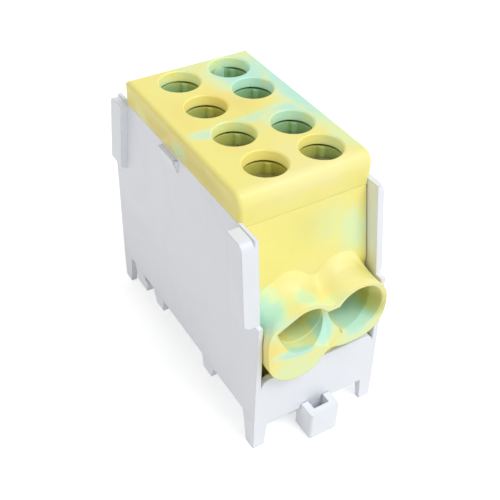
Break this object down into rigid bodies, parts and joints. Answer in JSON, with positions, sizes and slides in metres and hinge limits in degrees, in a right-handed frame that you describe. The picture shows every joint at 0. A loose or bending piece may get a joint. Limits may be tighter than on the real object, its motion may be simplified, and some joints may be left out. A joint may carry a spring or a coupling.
{
  "type": "rail-mounted power distribution block",
  "caption": "Insulated power distribution block that snaps on a mounting rail, with cable spouts at both ends and screwdriver holes over clamp screws.",
  "frame": {"origin": "middle of the rail seat, the plane where the carrier rests on the rail's rims", "axes": "+Z away from the rail through the cover, +Y along the cable bores away from the rail latch, +X along the rail to the right as seen from the latch's end"},
  "size_m": [0.029, 0.0619, 0.0538],
  "materials": {
    "carrier_plastic": "smooth light grey moulded plastic",
    "housing_plastic": "smooth moulded plastic, yellow marbled with pale green",
    "conductor": "tinned and milled",
    "screw_steel": "zinc plated"
  },
  "bodies": {
    "base": {"carrier": "carrier_plastic", "housing": "housing_plastic", "terminal_block": "conductor", "top_cover": "housing_plastic"},
    "latch": {"rail_latch": "carrier_plastic"},
    "clamp_screw_left_1": {"clamp_screw_left_1": "screw_steel"},
    "clamp_screw_left_2": {"clamp_screw_left_2": "screw_steel"},
    "clamp_screw_left_3": {"clamp_screw_left_3": "screw_steel"},
    "clamp_screw_left_4": {"clamp_screw_left_4": "screw_steel"},
    "clamp_screw_right_1": {"clamp_screw_right_1": "screw_steel"},
    "clamp_screw_right_2": {"clamp_screw_right_2": "screw_steel"},
    "clamp_screw_right_3": {"clamp_screw_right_3": "screw_steel"},
    "clamp_screw_right_4": {"clamp_screw_right_4": "screw_steel"}
  },
  "joints": [
    {"name": "rail_latch_slide", "type": "slide", "parent": "base", "child": "latch", "axis": [0, -1, 0], "range_m": [0, 0.002], "stiffness_N_per_m": 800, "springref_m": -0.001},
    {"name": "clamp_screw_left_1_travel", "type": "slide", "parent": "base", "child": "clamp_screw_left_1", "axis": [0, 0, 1], "range_m": [-0.007, 0.002]},
    {"name": "clamp_screw_left_2_travel", "type": "slide", "parent": "base", "child": "clamp_screw_left_2", "axis": [0, 0, 1], "range_m": [-0.007, 0.002]},
    {"name": "clamp_screw_left_3_travel", "type": "slide", "parent": "base", "child": "clamp_screw_left_3", "axis": [0, 0, 1], "range_m": [-0.007, 0.002]},
    {"name": "clamp_screw_left_4_travel", "type": "slide", "parent": "base", "child": "clamp_screw_left_4", "axis": [0, 0, 1], "range_m": [-0.007, 0.002]},
    {"name": "clamp_screw_right_1_travel", "type": "slide", "parent": "base", "child": "clamp_screw_right_1", "axis": [0, 0, 1], "range_m": [-0.007, 0.002]},
    {"name": "clamp_screw_right_2_travel", "type": "slide", "parent": "base", "child": "clamp_screw_right_2", "axis": [0, 0, 1], "range_m": [-0.007, 0.002]},
    {"name": "clamp_screw_right_3_travel", "type": "slide", "parent": "base", "child": "clamp_screw_right_3", "axis": [0, 0, 1], "range_m": [-0.007, 0.002]},
    {"name": "clamp_screw_right_4_travel", "type": "slide", "parent": "base", "child": "clamp_screw_right_4", "axis": [0, 0, 1], "range_m": [-0.007, 0.002]}
  ]
}
